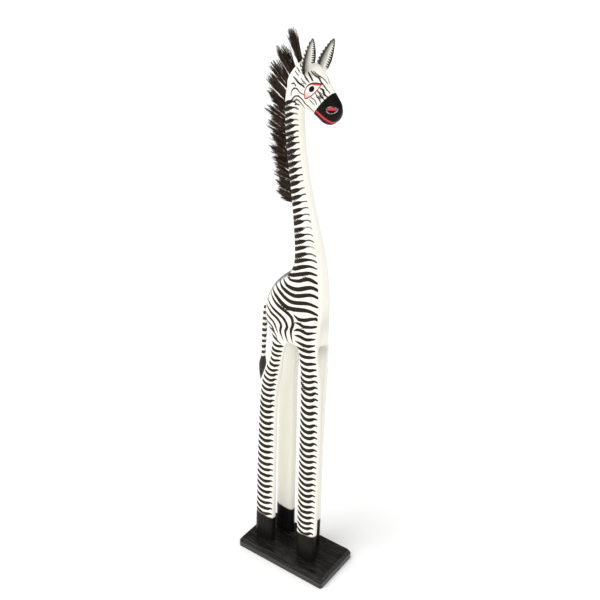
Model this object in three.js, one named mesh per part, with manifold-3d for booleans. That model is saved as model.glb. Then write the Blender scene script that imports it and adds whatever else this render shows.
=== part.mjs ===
// A tall carved and painted zebra, stretched to the height of a giraffe, standing on a dark plank.
//
// Units are millimetres. +X is the way the animal faces, +Y is its left side and +Z is up.
// The origin is the middle of the plank's underside.

import * as THREE from 'three';
import Module from 'manifold-3d';

const wasm = await Module();
wasm.setup();

// ---------------------------------------------------------------- driving dimensions

const FIT_GAP = 0.3; // clearance left between any two pieces that touch

const plank = { length: 200, width: 108, height: 20, bevelRun: 5, bevelDrop: 8, cornerRadius: 5 };

// The carving stands a little behind the plank's middle line.
const carvingY = 4;

// Trunk and neck: back edge, front edge, half width and squareness of the level cut at each height.
const trunk = [
  { z: 477, back: -46, front: 42, half: 23, power: 3 },
  { z: 484, back: -57, front: 48, half: 28, power: 3 },
  { z: 505, back: -68.5, front: 50.5, half: 30.5, power: 3 },
  { z: 530, back: -70, front: 50.5, half: 31, power: 3 },
  { z: 552, back: -64.5, front: 50, half: 30.5, power: 2.8 },
  { z: 574, back: -50, front: 49.5, half: 29.5, power: 2.6 },
  { z: 594, back: -28.5, front: 47.5, half: 27.5, power: 2.4 },
  { z: 610, back: -15, front: 45.5, half: 25.5, power: 2.3 },
  { z: 640, back: -12.5, front: 41, half: 22, power: 2.2 },
  { z: 690, back: -17, front: 28, half: 18.5, power: 2.1 },
  { z: 760, back: -26, front: 9, half: 16, power: 2 },
  { z: 830, back: -36, front: -3.5, half: 15, power: 2 },
  { z: 885, back: -39, front: -6.5, half: 15, power: 2 },
];

// Nape: the neck's own line carried on up behind the skull, as part of the head block.
const nape = [
  { z: 885, back: -39, front: -6.5, half: 15, power: 2 },
  { z: 905, back: -37, front: -3, half: 15, power: 2 },
  { z: 924, back: -31, front: 6, half: 14.5, power: 2 },
  { z: 940, back: -22, front: 14, half: 13, power: 2 },
  { z: 951, back: -11, front: 10, half: 8, power: 2 },
];
const neckJointZ = 885;

// The skull is cut away where the top of the neck stands: everything behind this x and below the joint.
const throatCutX = -5;

// Legs: rear edge, front edge, distance out from the carving's middle and half depth at each height.
// The right pair stands spread, the left pair closer together.
const legs = {
  hind_right: [
    { z: 20, back: -82, front: -38, out: 21.5, half: 9 },
    { z: 250, back: -76, front: -37, out: 21.5, half: 9 },
    { z: 345, back: -71, front: -35, out: 21.5, half: 9 },
    { z: 390, back: -66, front: -31, out: 21.5, half: 9 },
    { z: 435, back: -51, front: -23, out: 21.5, half: 9 },
    { z: 470, back: -48, front: -17, out: 20.5, half: 9 },
    { z: 522, back: -46, front: -14, out: 15, half: 8 },
  ],
  front_right: [
    { z: 20, back: 18, front: 60, out: 21.5, half: 9 },
    { z: 250, back: 18.5, front: 61, out: 21.5, half: 9 },
    { z: 400, back: 18.5, front: 59, out: 21.5, half: 9 },
    { z: 460, back: 11, front: 53, out: 21, half: 9 },
    { z: 522, back: 0, front: 40, out: 15, half: 8 },
  ],
  hind_left: [
    { z: 20, back: -62, front: -22, out: 21.5, half: 9 },
    { z: 250, back: -61, front: -22, out: 21.5, half: 9 },
    { z: 390, back: -60, front: -22, out: 21.5, half: 9 },
    { z: 435, back: -51, front: -18, out: 21.5, half: 9 },
    { z: 470, back: -49, front: -15, out: 20.5, half: 9 },
    { z: 522, back: -46, front: -12, out: 15, half: 8 },
  ],
  front_left: [
    { z: 20, back: -1, front: 40, out: 21.5, half: 9 },
    { z: 250, back: 0, front: 40, out: 21.5, half: 9 },
    { z: 400, back: 2, front: 42, out: 21.5, half: 9 },
    { z: 460, back: 3, front: 46, out: 20.5, half: 9 },
    { z: 522, back: 4, front: 45, out: 15, half: 8 },
  ],
};

// Head: cuts across a line that runs from the skull down to the lips.
// "along" is the place on that line; "low" and "high" are the throat and brow sides of the cut.
const headCentre = { x: 8, z: 912 };
const headDipDegrees = 40;
const head = [
  { along: -40, low: -14, high: 18, half: 8 },
  { along: -35, low: -26, high: 25, half: 14 },
  { along: -18, low: -35, high: 34, half: 18.5 },
  { along: 2, low: -34, high: 32, half: 20.5 },
  { along: 20, low: -27, high: 27, half: 19 },
  { along: 34, low: -22, high: 24.5, half: 17 },
  { along: 50, low: -20, high: 20.5, half: 16.5 },
  { along: 60, low: -14, high: 13, half: 12 },
  { along: 64, low: -6, high: 5, half: 5 },
];

// Ears: leaves that lean forward and outward from the crown, each turned a little differently.
// Each "leaf" pair is a place along the ear and its width there, both as a share of the full size.
const ear = {
  right: { side: -1, baseX: 9, tipX: 23, tipZ: 989, outwardTurnDegrees: 8 },
  left: { side: 1, baseX: 16, tipX: 29, tipZ: 985, outwardTurnDegrees: -8 },
  baseZ: 941, baseOffsetY: 13.5, tipOffsetY: 24,
  rootDepth: 7, halfWidth: 14.5, wall: 5, cup: 3.5,
  pegRadius: 2.5, pegLength: 6, pegSetBack: 5,
  leaf: [[0, 0.62], [0.18, 0.95], [0.4, 1], [0.62, 0.8], [0.82, 0.5], [0.94, 0.28], [1, 0.08]],
};

// Tail: a round stick that leaves the rump, hangs straight and ends in a pointed brush.
const tail = {
  radius: 4.6, pegRadius: 3.2,
  path: [[-79, 521], [-80, 495], [-82, 455], [-83.5, 420], [-85, 402], [-88, 382], [-90, 364]],
  swell: [0.7, 1, 1, 0.9, 1.5, 0.9, 0.12],
  pegX: [-58, -79.5], pegZ: [527, 519],
};

// Mane: bunches of stiff fibre, each glued into its own drilled hole along the nape.
// A bunch opens out only once it is clear of the neck.
const mane = {
  count: 13, topZ: 948, bottomZ: 731,
  topTiltDegrees: 65, bottomTiltDegrees: 15, tiltFade: 3,
  topLength: 54, bottomLength: 37,
  holeDepth: 7, plugRadius: 2.5, plugClear: 3.5, opensOver: 5,
  rootHalfHeight: 4.5, rootHalfWidth: 3,
  fullAt: 0.7, fullHalfHeight: 6.4, fullHalfWidth: 6, tipHalfHeight: 3.8, tipHalfWidth: 3,
};

const screw = { headRadius: 4.2, rim: 0.5, coneHeight: 2.6, shankRadius: 2, tip: 5, length: 44, sunk: 0.6 };
const dowel = { radius: 5, below: 20, above: 20, x: -23 };

// ---------------------------------------------------------------- colours

const paint = {
  plank: 0x2b2829, cream: 0xf1ede0, ear: 0xd9d4c4, tail: 0x2a241f,
  mane: 0x33241b, steel: 0x9a9a96, beech: 0xc9a877,
};

const material = (name, color, roughness, metalness = 0) =>
  Object.assign(new THREE.MeshStandardMaterial({ color, roughness, metalness }), { name });

const materials = {
  plank: material('black_lacquered_wood', paint.plank, 0.35),
  body: material('painted_wood', paint.cream, 0.6),
  ear: material('painted_ear_wood', paint.ear, 0.65),
  tail: material('painted_tail_wood', paint.tail, 0.6),
  mane: material('palm_fibre', paint.mane, 0.9),
  steel: material('zinc_steel', paint.steel, 0.4, 1),
  beech: material('bare_dowel_wood', paint.beech, 0.8),
};

// ---------------------------------------------------------------- solids

/** Turns a closed geometry into a manifold solid, sharing the corners that its faces repeat. */
function toSolid(geometry) {
  const position = geometry.getAttribute('position');
  const index = geometry.index ? geometry.index.array : [...Array(position.count).keys()];
  const places = new Map();
  const vertices = [];
  const corners = Array.from(index, (i) => {
    const point = [position.getX(i), position.getY(i), position.getZ(i)];
    const key = point.map((value) => Math.round(value * 1e4)).join();
    if (!places.has(key)) {
      places.set(key, vertices.length / 3);
      vertices.push(...point);
    }
    return places.get(key);
  });
  const faces = [];
  for (let i = 0; i < corners.length; i += 3) {
    const [a, b, c] = corners.slice(i, i + 3);
    if (a !== b && b !== c && c !== a) faces.push(a, b, c);
  }
  return new wasm.Manifold(new wasm.Mesh({
    numProp: 3,
    vertProperties: new Float32Array(vertices),
    triVerts: new Uint32Array(faces),
  }));
}

/** Turns a manifold solid back into a named three.js mesh. */
function toMesh(name, solid, surface) {
  const { vertProperties, triVerts } = solid.getMesh();
  const geometry = new THREE.BufferGeometry();
  geometry.setAttribute('position', new THREE.BufferAttribute(Float32Array.from(vertProperties), 3));
  geometry.setIndex(new THREE.BufferAttribute(Uint32Array.from(triVerts), 1));
  geometry.computeVertexNormals();
  const mesh = new THREE.Mesh(geometry, surface);
  mesh.name = name;
  return mesh;
}

/** Six times the enclosed volume, below zero when the faces point inwards. */
function signedVolume(points, faces) {
  let total = 0;
  for (let i = 0; i < faces.length; i += 3) {
    const [a, b, c] = faces.slice(i, i + 3).map((corner) => points[corner]);
    total += a.dot(new THREE.Vector3().crossVectors(b, c));
  }
  return total;
}

/** Closed skin through a row of rings that all have the same number of points. */
function loft(rings) {
  const count = rings[0].length;
  const centre = (ring) => ring.reduce((sum, p) => sum.add(p), new THREE.Vector3()).divideScalar(count);
  const points = [...rings.flat(), centre(rings[0]), centre(rings.at(-1))];
  const firstPole = points.length - 2;
  const lastPole = points.length - 1;
  const lastRing = (rings.length - 1) * count;
  const faces = [];
  for (let i = 0; i < count; i += 1) {
    const next = (i + 1) % count;
    faces.push(firstPole, next, i);
    for (let r = 0; r < lastRing; r += count) {
      faces.push(r + i, r + next, r + count + next);
      faces.push(r + i, r + count + next, r + count + i);
    }
    faces.push(lastPole, lastRing + i, lastRing + next);
  }
  if (signedVolume(points, faces) < 0) faces.reverse();
  const geometry = new THREE.BufferGeometry().setFromPoints(points);
  geometry.setIndex(faces);
  return toSolid(geometry);
}

/** Unit superellipse: power 2 is an ellipse, larger powers are squarer. */
function superellipse(count, power) {
  return Array.from({ length: count }, (_, i) => {
    const angle = (i / count) * 2 * Math.PI;
    const bend = (value) => Math.sign(value) * Math.abs(value) ** (2 / power);
    return [bend(Math.cos(angle)), bend(Math.sin(angle))];
  });
}

/** Smooth values between driving rows: every key but the first is a spline against the first. */
function smoothRows(rows, steps) {
  const [main, ...others] = Object.keys(rows[0]);
  const curves = others.map((key) =>
    new THREE.SplineCurve(rows.map((row) => new THREE.Vector2(row[main], row[key]))));
  return Array.from({ length: steps + 1 }, (_, i) => {
    const samples = curves.map((curve) => curve.getPoint(i / steps));
    return Object.fromEntries([[main, samples[0].x], ...others.map((key, k) => [key, samples[k].y])]);
  });
}

/** Level ring between a back edge and a front edge. */
function levelRing({ z, back, front, half, power }, y, count, grow = 0) {
  const middle = (back + front) / 2;
  const reach = (front - back) / 2 + grow;
  return superellipse(count, power).map(([a, b]) =>
    new THREE.Vector3(middle + a * reach, y + b * (half + grow), z));
}

/** Solid cylinder or cone between two points. */
function rod(start, end, startRadius, endRadius = startRadius, sides = 16) {
  const from = new THREE.Vector3(...start);
  const axis = new THREE.Vector3(...end).sub(from);
  const geometry = new THREE.CylinderGeometry(endRadius, startRadius, axis.length(), sides);
  geometry.translate(0, axis.length() / 2, 0);
  geometry.applyQuaternion(new THREE.Quaternion().setFromUnitVectors(
    new THREE.Vector3(0, 1, 0), axis.clone().normalize()));
  geometry.translate(...from);
  return toSolid(geometry);
}

// ---------------------------------------------------------------- the carving

const LEG_SQUARENESS = 3.2;

function trunkSolid() {
  return loft(smoothRows(trunk, 36).map((row) => levelRing(row, carvingY, 32)));
}

function legSolid(rows, side) {
  const sections = smoothRows(rows, 14).map((row) => ({ ...row, power: LEG_SQUARENESS }));
  sections[0].z = plank.height + FIT_GAP;
  return loft(sections.map((row) => levelRing(row, carvingY + side * row.out, 20)));
}

/** Point of the head given along and across its own line. */
function headPoint(along, across, y) {
  const dip = THREE.MathUtils.degToRad(headDipDegrees);
  return new THREE.Vector3(
    headCentre.x + along * Math.cos(dip) + across * Math.sin(dip),
    carvingY + y,
    headCentre.z - along * Math.sin(dip) + across * Math.cos(dip),
  );
}

function skullSolid(grow = 0) {
  const outline = superellipse(28, 2.2);
  return loft(smoothRows(head, 22).map(({ along, low, high, half }) =>
    outline.map(([a, b]) => {
      const across = (low + high) / 2 + a * ((high - low) / 2 + grow);
      return headPoint(along, across, b * (half + grow));
    })));
}

function napeSolid(grow = 0) {
  const rows = smoothRows(nape, 10);
  rows[0].z = neckJointZ + FIT_GAP;
  return loft(rows.map((row) => levelRing(row, carvingY, 32, grow)));
}

/** The skull and nape in one block, with room below for the top of the neck. */
function headBlock() {
  const room = 60; // wider and deeper than any part of the skull that reaches over the neck
  const neckTop = toSolid(new THREE.BoxGeometry(room, room, room).translate(
    throatCutX - room / 2, carvingY, neckJointZ + FIT_GAP - room / 2));
  return skullSolid().subtract(neckTop).add(napeSolid());
}

// ---------------------------------------------------------------- mane

/** Back edge of the neck or nape at a height. */
function backEdge(z) {
  const rows = [...smoothRows(trunk, 60), ...smoothRows(nape, 40)];
  const above = rows.findIndex((row) => row.z >= z);
  const [low, high] = [rows[above - 1], rows[above]];
  return THREE.MathUtils.mapLinear(z, low.z, high.z, low.back, high.back);
}

/** Root point, direction and length of every bunch, from the crown down. */
function tuftPlan() {
  return Array.from({ length: mane.count }, (_, i) => {
    const fall = i / (mane.count - 1);
    const z = THREE.MathUtils.lerp(mane.topZ, mane.bottomZ, fall);
    const tilt = THREE.MathUtils.degToRad(THREE.MathUtils.lerp(
      mane.bottomTiltDegrees, mane.topTiltDegrees, (1 - fall) ** mane.tiltFade));
    return {
      root: new THREE.Vector3(backEdge(z), carvingY, z),
      along: new THREE.Vector3(-Math.cos(tilt), 0, Math.sin(tilt)),
      up: new THREE.Vector3(Math.sin(tilt), 0, Math.cos(tilt)),
      length: mane.bottomLength + (mane.topLength - mane.bottomLength) * (1 - fall) ** 1.5,
    };
  });
}

function tuftSolid({ root, along, up, length }) {
  const outline = superellipse(10, 2);
  const cuts = [
    [FIT_GAP - mane.holeDepth, mane.plugRadius, mane.plugRadius],
    [mane.plugClear, mane.plugRadius, mane.plugRadius],
    [mane.plugClear + mane.opensOver, mane.rootHalfHeight, mane.rootHalfWidth],
    [length * mane.fullAt, mane.fullHalfHeight, mane.fullHalfWidth],
    [length, mane.tipHalfHeight, mane.tipHalfWidth],
  ];
  return loft(cuts.map(([distance, high, wide]) => outline.map(([a, b]) =>
    root.clone()
      .addScaledVector(along, distance)
      .addScaledVector(up, -a * high)
      .add(new THREE.Vector3(0, b * wide, 0)))));
}

function tuftHole({ root, along }) {
  const inner = root.clone().addScaledVector(along, -mane.holeDepth);
  const outer = root.clone().addScaledVector(along, mane.plugClear + mane.opensOver);
  return rod(inner.toArray(), outer.toArray(), mane.plugRadius + FIT_GAP);
}

// ---------------------------------------------------------------- ears

function earFrame({ side, baseX, tipX, tipZ, outwardTurnDegrees }) {
  const base = new THREE.Vector3(baseX, carvingY + side * ear.baseOffsetY, ear.baseZ);
  const tip = new THREE.Vector3(tipX, carvingY + side * ear.tipOffsetY, tipZ);
  const along = tip.clone().sub(base).normalize();
  const turn = THREE.MathUtils.degToRad(outwardTurnDegrees);
  const face = new THREE.Vector3(Math.cos(turn), side * Math.sin(turn), 0);
  face.addScaledVector(along, -face.dot(along)).normalize();
  const across = new THREE.Vector3().crossVectors(along, face);
  return { base, tip, along, face, across };
}

function earPeg(placed, radius, extra) {
  const { base, along, face } = earFrame(placed);
  const heart = base.clone().addScaledVector(face, -ear.pegSetBack);
  const outer = heart.clone().addScaledVector(along, ear.rootDepth);
  const inner = heart.clone().addScaledVector(along, -ear.rootDepth - ear.pegLength - extra);
  return rod(outer.toArray(), inner.toArray(), radius);
}

function earSolid(placed) {
  const { base, tip, along, face, across } = earFrame(placed);
  const length = tip.distanceTo(base) + ear.rootDepth;
  const start = base.clone().addScaledVector(along, -ear.rootDepth);
  const steps = 8;
  const rings = ear.leaf.map(([place, width]) => {
    const middle = start.clone().addScaledVector(along, place * length);
    const at = (turn, depth) => middle.clone()
      .addScaledVector(across, Math.cos(turn) * ear.halfWidth * width)
      .addScaledVector(face, depth * width);
    const ring = [];
    for (let i = 0; i <= steps; i += 1) {
      const turn = (i / steps) * Math.PI;
      ring.push(at(turn, -Math.sin(turn) * (ear.wall + ear.cup)));
    }
    for (let i = steps - 1; i > 0; i -= 1) {
      const turn = (i / steps) * Math.PI;
      ring.push(at(turn, -Math.sin(turn) * ear.cup));
    }
    return ring.reverse();
  });
  const leaf = loft(rings);
  return leaf.subtract(skullSolid(FIT_GAP)).subtract(napeSolid(FIT_GAP));
}

// ---------------------------------------------------------------- tail

function tailPeg(radius) {
  const [innerX, outerX] = tail.pegX;
  const [innerZ, outerZ] = tail.pegZ;
  return rod([innerX, carvingY, innerZ], [outerX, carvingY, outerZ], radius);
}

function tailSolid() {
  const path = new THREE.CatmullRomCurve3(tail.path.map(([x, z]) => new THREE.Vector3(x, carvingY, z)));
  const swell = new THREE.SplineCurve(tail.swell.map((value, i) => new THREE.Vector2(i, value)));
  const outline = superellipse(14, 2);
  const steps = 18;
  const rings = Array.from({ length: steps + 1 }, (_, i) => {
    const centre = path.getPoint(i / steps);
    const heading = path.getTangent(i / steps);
    const radius = tail.radius * swell.getPoint(i / steps).y;
    const back = new THREE.Vector3(0, 1, 0).cross(heading).normalize();
    return outline.map(([a, b]) => centre.clone()
      .addScaledVector(back, a * radius)
      .add(new THREE.Vector3(0, -b * radius, 0)));
  });
  return loft(rings).add(tailPeg(tail.pegRadius));
}

// ---------------------------------------------------------------- plank and hidden fixings

/** Plan outline of the plank with rounded corners, drawn in by a distance. */
function plankRing(inset, z) {
  const perCorner = 5;
  const radius = Math.max(plank.cornerRadius - inset, 1);
  const corners = [[1, 1], [-1, 1], [-1, -1], [1, -1]];
  return corners.flatMap(([sx, sy], quarter) =>
    Array.from({ length: perCorner }, (_, i) => {
      const turn = (quarter + i / (perCorner - 1)) * (Math.PI / 2);
      return new THREE.Vector3(
        sx * (plank.length / 2 - inset - radius) + radius * Math.cos(turn),
        sy * (plank.width / 2 - inset - radius) + radius * Math.sin(turn),
        z,
      );
    }));
}

/** One screw stands under the middle of each foot. */
const footCentres = Object.entries(legs).map(([name, rows]) => ({
  name,
  side: name.endsWith('left') ? 1 : -1,
  x: (rows[0].back + rows[0].front) / 2,
  out: rows[0].out,
})).map((foot) => ({ ...foot, y: carvingY + foot.side * foot.out }));

function screwSolid({ x, y }, grow = 0) {
  const { headRadius, rim, coneHeight, shankRadius, tip, length, sunk } = screw;
  const profile = [
    [0, sunk], [headRadius, sunk], [headRadius, sunk + rim], [shankRadius, sunk + rim + coneHeight],
    [shankRadius, length - tip], [0, length],
  ].map(([r, z]) => new THREE.Vector2(r, z));
  if (grow > 0) {
    profile.forEach((point, i) => {
      if (point.x > 0) point.x += grow;
      if (i < 2) point.y = -1;
    });
    profile.at(-1).y += grow * 2;
  }
  const geometry = new THREE.LatheGeometry(profile, 16);
  geometry.rotateX(Math.PI / 2);
  geometry.translate(x, y, 0);
  return toSolid(geometry);
}

function plankSolid() {
  const { height, bevelRun, bevelDrop } = plank;
  let solid = loft([plankRing(0, 0), plankRing(0, height - bevelDrop), plankRing(bevelRun, height)]);
  for (const foot of footCentres) solid = solid.subtract(screwSolid(foot, FIT_GAP));
  return solid;
}

function dowelSolid(grow = 0) {
  const { radius, below, above, x } = dowel;
  const bottom = [x, carvingY, neckJointZ - below - grow];
  const top = [x, carvingY, neckJointZ + above + grow];
  return rod(bottom, top, radius + grow);
}

// ---------------------------------------------------------------- assembly

function assembleStatue() {
  const group = new THREE.Group();
  group.name = 'carved_zebra_statue';
  const add = (name, solid, surface) => group.add(toMesh(name, solid, surface));
  const tufts = tuftPlan();

  add('base_plank', plankSolid(), materials.plank);

  let body = trunkSolid();
  for (const { name, side } of footCentres) body = body.add(legSolid(legs[name], side));
  for (const foot of footCentres) body = body.subtract(screwSolid(foot, FIT_GAP));
  for (const tuft of tufts) body = body.subtract(tuftHole(tuft));
  body = body.subtract(dowelSolid(FIT_GAP)).subtract(tailPeg(tail.pegRadius + FIT_GAP));
  add('body_carving', body, materials.body);

  let skull = headBlock();
  for (const tuft of tufts) skull = skull.subtract(tuftHole(tuft));
  for (const placed of [ear.right, ear.left]) {
    skull = skull.subtract(earPeg(placed, ear.pegRadius + FIT_GAP, FIT_GAP));
  }
  add('head_carving', skull.subtract(dowelSolid(FIT_GAP)), materials.body);

  add('ear_right', earSolid(ear.right).add(earPeg(ear.right, ear.pegRadius, 0)), materials.ear);
  add('ear_left', earSolid(ear.left).add(earPeg(ear.left, ear.pegRadius, 0)), materials.ear);
  add('tail_carving', tailSolid(), materials.tail);
  add('neck_dowel', dowelSolid(), materials.beech);
  for (const foot of footCentres) add(`wood_screw_${foot.name}`, screwSolid(foot), materials.steel);
  tufts.forEach((tuft, i) => {
    add(`mane_tuft_${String(i + 1).padStart(2, '0')}`, tuftSolid(tuft), materials.mane);
  });
  return group;
}

export default assembleStatue();
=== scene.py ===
"""Looks of a tall carved and painted zebra on a black plank, laid out as an add-on and run as a script.

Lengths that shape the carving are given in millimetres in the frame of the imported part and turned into
metres where a mesh is made. +X is the way the animal faces, +Y its left side and +Z up.
"""

import math
import random

import bmesh
import bpy
import numpy as np
from mathutils import Matrix, Vector, kdtree


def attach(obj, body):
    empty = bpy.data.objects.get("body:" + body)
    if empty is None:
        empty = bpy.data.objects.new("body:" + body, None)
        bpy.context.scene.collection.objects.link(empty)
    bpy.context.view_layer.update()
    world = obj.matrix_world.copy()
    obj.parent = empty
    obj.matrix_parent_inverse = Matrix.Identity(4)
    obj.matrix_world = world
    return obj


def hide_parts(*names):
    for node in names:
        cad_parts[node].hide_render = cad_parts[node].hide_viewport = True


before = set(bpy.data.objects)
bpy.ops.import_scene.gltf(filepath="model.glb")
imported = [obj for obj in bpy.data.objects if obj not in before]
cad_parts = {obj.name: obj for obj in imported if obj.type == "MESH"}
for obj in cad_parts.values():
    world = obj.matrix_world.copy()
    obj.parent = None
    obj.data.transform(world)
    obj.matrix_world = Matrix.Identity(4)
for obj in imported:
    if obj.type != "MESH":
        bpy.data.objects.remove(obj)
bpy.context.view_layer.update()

bl_info = {
    "name": "Carved zebra statue",
    "version": (1, 0, 0),
    "blender": (4, 5, 0),
    "location": "3D View > Sidebar > Zebra",
    "description": "Builds the painted carving, its fibre mane, its plank and a plain studio",
    "category": "Object",
}

MM = 0.001
BODY = "root"
SEED = 11

# ---------------------------------------------------------------- measures of the carving, in mm

CARVING_Y = 4.0
NECK_JOINT_Z = 885.0

# Level cuts of trunk and neck: height, back edge, front edge.
TRUNK_EDGES = (
    (477, -46, 42), (505, -68.5, 50.5), (530, -70, 50.5), (552, -64.5, 50), (574, -50, 49.5),
    (594, -28.5, 47.5), (610, -15, 45.5), (640, -12.5, 41), (690, -17, 28), (760, -26, 9),
    (830, -36, -3.5), (885, -39, -6.5), (905, -37, -3), (924, -31, 6), (940, -22, 14), (951, -11, 10),
)

# Level cuts of the legs: height, rear edge, front edge. Side -1 is the animal's right.
LEG_EDGES = {
    ("hind", -1): ((20, -82, -38), (250, -76, -37), (345, -71, -35), (390, -66, -31), (435, -51, -23),
                   (470, -48, -17), (522, -46, -14)),
    ("front", -1): ((20, 18, 60), (250, 18.5, 61), (400, 18.5, 59), (460, 11, 53), (522, 0, 40)),
    ("hind", 1): ((20, -62, -22), (250, -61, -22), (390, -60, -22), (435, -51, -18), (470, -49, -15),
                  (522, -46, -12)),
    ("front", 1): ((20, -1, 40), (250, 0, 40), (400, 2, 42), (460, 3, 46), (522, 4, 45)),
}
LEG_TOP_Z = 476.0
FORK_HEIGHTS = (424.0, 545.0)  # between these the trunk is blended into the legs
FORK_SMOOTHING = 55
CHEST_HOLLOW = 7.0
RUMP_HEIGHT = 592.0
RUMP_REACH = 26.0
RUMP_FULLNESS = 6.0

HEAD_CENTRE = (8.0, 912.0)
HEAD_DIP = math.radians(40)

# Width of an ear at each share of its length, and how each ear stands. Turns are outward, in degrees.
EAR_WIDTHS = ((0, 0.62), (0.18, 0.95), (0.4, 1), (0.62, 0.8), (0.82, 0.5), (0.94, 0.28), (1, 0.08))
EARS = {
    "ear_right": {"side": -1, "base_x": 9, "tip_x": 23, "tip_z": 989, "turn": 8},
    "ear_left": {"side": 1, "base_x": 16, "tip_x": 29, "tip_z": 985, "turn": -8},
}
EAR_BASE_Z = 941.0
EAR_BASE_OUT = 13.5  # from the middle plane to the foot of an ear
EAR_TIP_OUT = 24.0
EAR_ROOT_DEPTH = 7.0  # how far an ear runs down into the crown
EAR_HALF_WIDTH = 14.5
EAR_WALL = 5.0
EAR_CUP = 3.5  # how deep an ear is hollowed
EAR_RIM = 0.5
OUTER_TICKS = 10.0  # painted ticks along the outside of an ear

MANE_COUNT = 13
MANE_Z = (948.0, 731.0)  # roots of the top and bottom bunch
MANE_TILT = (65.0, 15.0)  # degrees above level, at the top and bottom
MANE_TILT_FADE = 3
MANE_LENGTH = (54.0, 37.0)
MANE_LENGTH_FADE = 1.5
STRANDS = 26  # strands in one bunch of fibres
STRAY_SHARE = 0.07

# ---------------------------------------------------------------- brush strokes, in mm

# Strokes over neck, back and haunch, from the nape down. Each guide has its place in the row of
# strokes, then its points (x, z) from the back to the chest. Strokes between guides are blended.
BACK_GUIDES = (
    (0, ((-38, 884), (-31, 887), (-22, 891), (-15, 892), (-9, 887))),
    (9, ((-31, 799), (-23, 802), (-12, 808), (-4, 811), (1, 806))),
    (19, ((-17, 692), (-9, 696), (7, 704), (16, 707), (23, 702))),
    (25, ((-13, 628), (-5, 631), (17, 641), (30, 643), (40, 636))),
    (27, ((-16, 606), (-5, 609), (14, 617), (29, 621), (42, 616))),
    (28, ((-15, 602), (-6, 600), (10, 604), (28, 610), (44, 602))),
    (29, ((-23, 595), (-11, 589), (8, 588), (33, 597), (47, 587))),
    (30, ((-33, 590), (-20, 582), (4, 576), (33, 583), (48, 575))),
    (31, ((-42, 582), (-29, 574), (-3, 564), (30, 567), (49, 559))),
    (32, ((-49, 572), (-35, 564), (-8, 551), (30, 555), (49, 545))),
)

# Half of each stroke's thickness at even steps along it: a blunt block at the back and a thin tail
# on the neck, and a full stroke over the haunch.
BACK_HALF_WIDTHS = (
    (0, (2.2, 2.8, 3.0, 3.0, 3.0, 2.8, 1.5, 1.2, 0.9, 0.3)),
    (9, (2.4, 3.2, 3.5, 3.5, 3.5, 3.2, 1.5, 1.1, 0.9, 0.3)),
    (22, (2.5, 3.2, 3.5, 3.5, 3.5, 3.2, 1.5, 1.2, 0.9, 0.3)),
    (26, (2.2, 3.1, 3.5, 3.6, 3.7, 3.4, 2.8, 2.1, 1.3, 0.4)),
    (28, (1.1, 2.1, 2.7, 3.0, 3.3, 3.7, 3.8, 3.4, 2.4, 0.6)),
    (29, (1.5, 2.7, 3.4, 3.7, 3.9, 4.0, 4.0, 3.5, 2.4, 0.6)),
    (32, (1.3, 2.7, 3.5, 3.8, 3.9, 4.0, 3.9, 3.5, 2.5, 0.6)),
)
NECK_DRYNESS = (0.05, 0.03, 0.03, 0.03, 0.05, 0.1, 0.5, 0.55, 0.6, 0.75)
HAUNCH_DRYNESS = (0.5, 0.2, 0.08, 0.05, 0.05, 0.08, 0.1, 0.15, 0.3, 0.6)
HAUNCH_PLACE = 27  # the first stroke of the row that is full from back to chest

# Strokes that stand alone: those that run down into the fork of the legs and fill in round them.
FORK_STROKES = (
    ((-51, 564), (-44, 558), (-30, 549), (-10, 541), (0, 534), (3, 522), (-1, 507), (1, 484)),
    ((-58, 552), (-50, 545), (-40, 539), (-24, 532), (-14, 525), (-9, 514), (-13, 502), (-9, 479)),
    ((-62, 540), (-54, 535), (-44, 529), (-30, 523), (-22, 513), (-24, 500), (-19, 483)),
    ((-66, 526), (-57, 521), (-46, 517), (-38, 512), (-33, 502), (-30, 494)),
    ((-66, 512), (-58, 508), (-47, 505), (-41, 500), (-37, 493)),
    ((-64, 499), (-56, 497), (-46, 496), (-38, 492), (-31, 484)),
    ((-58, 486), (-50, 486), (-40, 483), (-30, 478), (-23, 474)),
    ((5, 541), (13, 536), (24, 536), (36, 540), (43, 540), (49, 532)),
    ((7, 527), (15, 527), (24, 524), (36, 525), (45, 526), (48, 521)),
    ((6, 511), (13, 515), (20, 515), (30, 512), (39, 514), (45, 514)),
    ((7, 502), (16, 503), (28, 500), (38, 502), (45, 503)),
    ((8, 491), (18, 489), (30, 488), (38, 490), (46, 492)),
)
FORK_HALF_WIDTHS = (0.8, 2.2, 2.9, 3.1, 3.2, 3.1, 2.9, 2.5, 1.7, 0.5)
FORK_THICKNESS = (1.05, 0.95, 0.9, 0.75, 0.7, 0.7, 0.75, 1.1, 1.05, 1.1, 1.1, 1.05)  # one for each

# One stroke across a leg: share of the leg's width and rise. Its thickness is given at even steps.
LEG_STROKE = {
    "hind": ((0.0, 4.5), (0.12, 2.0), (0.3, -1.5), (0.5, -2.4), (0.7, -0.4), (0.86, 2.6), (0.99, 0.5)),
    "front": ((0.05, 4.0), (0.14, 2.0), (0.32, -2.4), (0.5, -3.0), (0.66, -0.8), (0.84, 4.0), (0.99, 1.0)),
}
LEG_HALF_WIDTHS = (2.0, 2.9, 3.3, 3.4, 3.4, 3.4, 3.2, 2.8, 1.8, 0.5)
LEG_TOP_STROKE_Z = {"hind": 470.0, "front": 479.0}
# Distance from one leg stroke to the next, at some heights.
LEG_STROKE_GAPS = {
    "hind": ((80, 13.6), (300, 13.3), (350, 12.2), (400, 11.2), (480, 9.4)),
    "front": ((80, 13.0), (385, 13.3), (410, 12.0), (480, 11.4)),
}

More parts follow.
